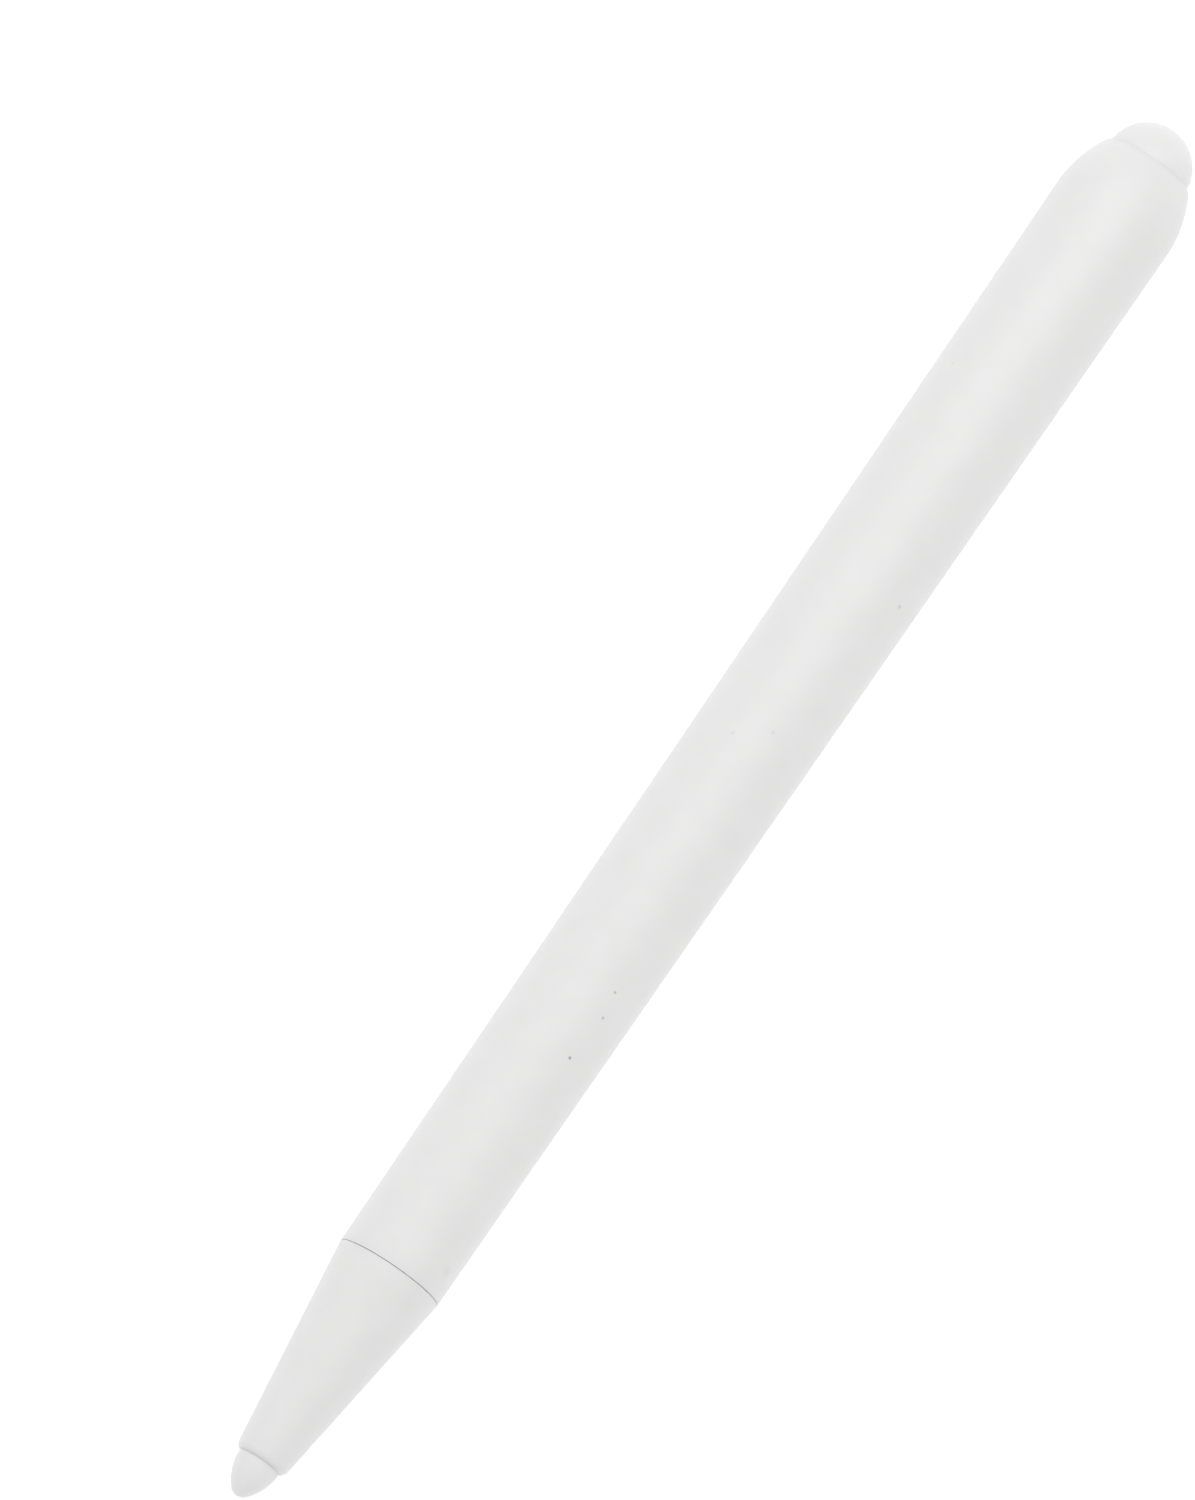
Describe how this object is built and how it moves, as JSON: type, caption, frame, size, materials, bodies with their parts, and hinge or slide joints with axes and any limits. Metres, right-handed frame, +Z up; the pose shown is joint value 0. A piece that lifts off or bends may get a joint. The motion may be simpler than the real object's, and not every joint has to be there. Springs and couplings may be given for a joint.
{
  "type": "double-ended stylus pen",
  "caption": "Slim plastic stylus pen for touch displays, with a fine bullet nib in a screw-off conical nose and a broad half-round nib in its rounded rear end.",
  "frame": {"origin": "on the surface that the pen lies on, under the middle of the pen's length", "axes": "+X along the pen's axis from the fine nib to the broad nib, +Z up, with the axis level at the barrel's largest radius above the origin"},
  "size_m": [0.164, 0.013, 0.013],
  "materials": {
    "shell_plastic": "satin moulded white plastic",
    "nib_plastic": "smooth white acetal",
    "grip_elastomer": "matte grey elastomer",
    "tray_plastic": "matte black plastic",
    "magnet_plating": "bright nickel plating",
    "weight_steel": "drawn steel bar",
    "pad_foam": "soft open-cell foam"
  },
  "bodies": {
    "pen": {"barrel": "shell_plastic", "broad_nib_sleeve": "grip_elastomer", "magnet_tray": "tray_plastic", "front_magnet": "magnet_plating", "rear_magnet": "magnet_plating", "weight_rod": "weight_steel", "front_pad": "pad_foam", "rear_pad": "pad_foam"},
    "nose_carrier": {"fine_nib_sleeve": "grip_elastomer"},
    "nose": {"nose_cone": "shell_plastic"},
    "fine_nib": {"fine_nib": "nib_plastic"},
    "broad_nib": {"broad_nib": "nib_plastic"}
  },
  "joints": [
    {"name": "nose_advance", "type": "slide", "parent": "pen", "child": "nose_carrier", "axis": [-1, 0, 0], "range_m": [0, 0.0056]},
    {"name": "nose_turn", "type": "hinge", "parent": "nose_carrier", "child": "nose", "pos_m": [-0.05572, 0, 0.0065], "axis": [-1, 0, 0], "range_deg": [0, 1261]},
    {"name": "fine_nib_pull", "type": "slide", "parent": "nose", "child": "fine_nib", "axis": [-1, 0, 0], "range_m": [0, 0.013]},
    {"name": "broad_nib_pull", "type": "slide", "parent": "pen", "child": "broad_nib", "axis": [1, 0, 0], "range_m": [0, 0.011]}
  ],
  "couplings": [
    {"joint": "nose_turn", "follows": "nose_advance", "rad_per_m": 3927}
  ]
}
